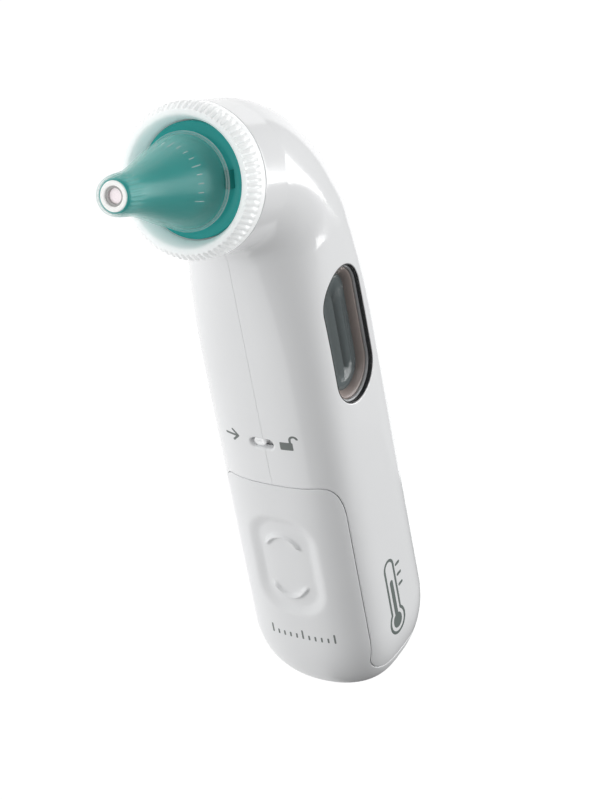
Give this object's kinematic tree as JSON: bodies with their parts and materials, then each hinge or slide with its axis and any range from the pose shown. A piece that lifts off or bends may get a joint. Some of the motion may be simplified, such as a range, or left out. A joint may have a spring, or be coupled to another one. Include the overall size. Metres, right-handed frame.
{
  "type": "digital ear thermometer",
  "caption": "Handheld infrared ear thermometer with a tilted probe, a clear lens filter, an ejector ring, a side display and a sliding battery cover.",
  "frame": {"origin": "middle of the flat left flank, the face that the thermometer rests on", "axes": "+Z out of the display side, -X towards the head, -Y towards the front, where the probe points"},
  "size_m": [0.1519, 0.0666, 0.0314],
  "materials": {
    "shell_white": "glossy moulded white",
    "cover_white": "glossy moulded white",
    "window_smoke": "smoked clear, polished",
    "frame_black": "black, fine texture",
    "lcd_grey": "reflective display",
    "elastomer": "carbon-loaded strips",
    "board_green": "solder mask",
    "chip_black": "moulded package",
    "switch_metal": "plated can",
    "button_grey": "satin grey",
    "holder_black": "moulded",
    "cell_steel": "nickel-plated can",
    "contact_steel": "plated spring strip",
    "latch_white": "moulded",
    "ring_frosted": "translucent, frosted",
    "spring_steel": "spring wire",
    "carrier_grey": "moulded",
    "probe_teal": "glossy teal",
    "tip_white": "insulating ring",
    "barrel_metal": "turned",
    "guide_gold": "gold-plated bore",
    "sensor_can": "nickel can",
    "sensor_glass": "infrared window",
    "cable_amber": "polyimide film",
    "filter_clear": "clear thin wall",
    "film_clear": "clear film",
    "detector_dark": "moulded",
    "screw_steel": "zinc plated"
  },
  "bodies": {
    "housing": {"housing_left": "shell_white", "housing_right": "shell_white", "display_window": "window_smoke", "lcd_frame": "frame_black", "lcd_panel": "lcd_grey", "contact_strips": "elastomer", "main_board": "board_green", "controller_chip": "chip_black", "buzzer": "chip_black", "start_switch": "switch_metal", "power_switch": "switch_metal", "battery_holder": "holder_black", "coin_cells": "cell_steel", "cell_contact_plus": "contact_steel", "cell_contact_minus": "contact_steel", "ejector_spring": "spring_steel", "probe_carrier": "carrier_grey", "probe_cone": "probe_teal", "tip_ring": "tip_white", "sensor_barrel": "barrel_metal", "waveguide_tube": "guide_gold", "thermopile_sensor": "sensor_can", "sensor_window": "sensor_glass", "sensor_cable": "cable_amber", "detector_switch": "chip_black", "housing_screws": "screw_steel"},
    "battery_cover": {"battery_cover": "cover_white"},
    "door_latch": {"door_latch": "latch_white"},
    "ejector": {"ejector_ring": "ring_frosted"},
    "filter": {"lens_filter": "filter_clear", "filter_film": "film_clear"},
    "detector": {"filter_detector": "detector_dark"},
    "start_button": {"start_button": "button_grey"},
    "power_button": {"power_button": "button_grey"}
  },
  "joints": [
    {"name": "ejector_slide", "type": "slide", "parent": "housing", "child": "ejector", "axis": [-0.4226, -0.9063, 0], "range_m": [0, 0.0035], "stiffness_N_per_m": 300, "deforming": ["ejector_spring"]},
    {"name": "filter_slide", "type": "slide", "parent": "housing", "child": "filter", "axis": [-0.4226, -0.9063, 0], "range_m": [0, 0.0035]},
    {"name": "detector_slide", "type": "slide", "parent": "housing", "child": "detector", "axis": [-0.4226, -0.9063, 0], "range_m": [0, 0.0008]},
    {"name": "cover_slide", "type": "slide", "parent": "housing", "child": "battery_cover", "axis": [1, 0, 0], "range_m": [0, 0.06]},
    {"name": "latch_slide", "type": "slide", "parent": "housing", "child": "door_latch", "axis": [0, 0, 1], "range_m": [0, 0.0016], "stiffness_N_per_m": 400},
    {"name": "start_press", "type": "slide", "parent": "housing", "child": "start_button", "axis": [0, -1, 0], "range_m": [0, 0.0008], "stiffness_N_per_m": 1500},
    {"name": "power_press", "type": "slide", "parent": "housing", "child": "power_button", "axis": [0, -1, 0], "range_m": [0, 0.0008], "stiffness_N_per_m": 1500}
  ],
  "couplings": [
    {"joint": "filter_slide", "follows": "ejector_slide", "ratio": 1},
    {"joint": "detector_slide", "follows": "ejector_slide", "ratio": 0.22857}
  ]
}
